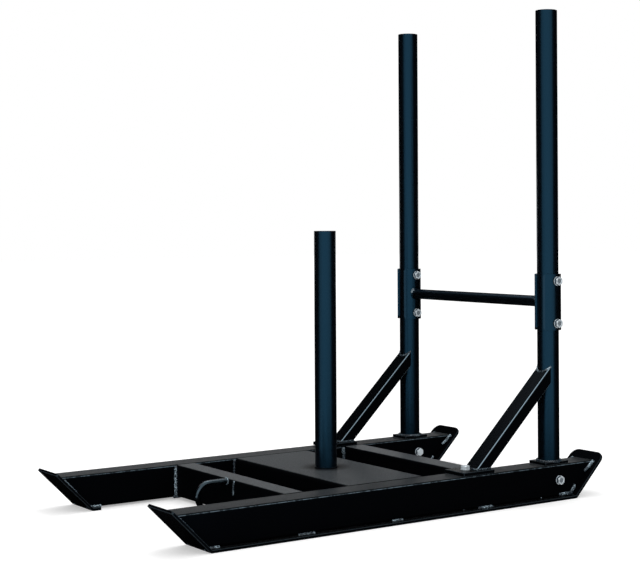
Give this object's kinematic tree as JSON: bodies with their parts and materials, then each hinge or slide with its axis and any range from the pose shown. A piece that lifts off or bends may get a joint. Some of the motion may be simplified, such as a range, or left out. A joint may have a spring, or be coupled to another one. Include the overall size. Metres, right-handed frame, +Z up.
{
  "type": "weight sled",
  "caption": "Push and pull weight sled on box-section runners, with a central plate post, braced push uprights, a crossbar and a tow loop.",
  "frame": {"origin": "middle of the sled's box on the floor: centre in X and Y, lowest point in Z", "axes": "+Z up; -Y towards the tow loop, the end that leads when pulled; +Y towards the push uprights; +X towards the right runner"},
  "size_m": [0.606, 1.1066, 1.0873],
  "materials": {
    "black_powder_coat": "satin black textured powder coat on steel",
    "zinc_plated_steel": "bright zinc plate",
    "black_plastic": "moulded black plastic plug"
  },
  "bodies": {
    "root": {"left_rail": "black_powder_coat", "left_skid_plate": "black_powder_coat", "left_upright": "black_powder_coat", "left_base_flange": "black_powder_coat", "left_brace_foot": "black_powder_coat", "left_brace": "black_powder_coat", "left_inner_saddle": "black_powder_coat", "left_outer_saddle": "black_powder_coat", "right_rail": "black_powder_coat", "right_skid_plate": "black_powder_coat", "right_upright": "black_powder_coat", "right_base_flange": "black_powder_coat", "right_brace_foot": "black_powder_coat", "right_brace": "black_powder_coat", "right_inner_saddle": "black_powder_coat", "right_outer_saddle": "black_powder_coat", "front_cross_member": "black_powder_coat", "rear_cross_member": "black_powder_coat", "deck_plate": "black_powder_coat", "weight_post": "black_powder_coat", "tow_loop": "black_powder_coat", "crossbar": "black_powder_coat", "left_lower_saddle_bolt": "zinc_plated_steel", "left_lower_saddle_bolt_washer": "zinc_plated_steel", "left_lower_saddle_nut": "zinc_plated_steel", "left_upper_saddle_bolt": "zinc_plated_steel", "left_upper_saddle_bolt_washer": "zinc_plated_steel", "left_upper_saddle_nut": "zinc_plated_steel", "left_rail_bolt": "zinc_plated_steel", "left_rail_bolt_washer": "zinc_plated_steel", "left_rail_nut": "zinc_plated_steel", "left_rail_nut_washer": "zinc_plated_steel", "left_foot_bolt": "zinc_plated_steel", "left_foot_bolt_washer": "zinc_plated_steel", "left_foot_nut": "zinc_plated_steel", "right_lower_saddle_bolt": "zinc_plated_steel", "right_lower_saddle_bolt_washer": "zinc_plated_steel", "right_lower_saddle_nut": "zinc_plated_steel", "right_upper_saddle_bolt": "zinc_plated_steel", "right_upper_saddle_bolt_washer": "zinc_plated_steel", "right_upper_saddle_nut": "zinc_plated_steel", "right_rail_bolt": "zinc_plated_steel", "right_rail_bolt_washer": "zinc_plated_steel", "right_rail_nut": "zinc_plated_steel", "right_rail_nut_washer": "zinc_plated_steel", "right_foot_bolt": "zinc_plated_steel", "right_foot_bolt_washer": "zinc_plated_steel", "right_foot_nut": "zinc_plated_steel", "left_upright_cap": "black_plastic", "right_upright_cap": "black_plastic", "weight_post_cap": "black_plastic"}
  },
  "joints": []
}
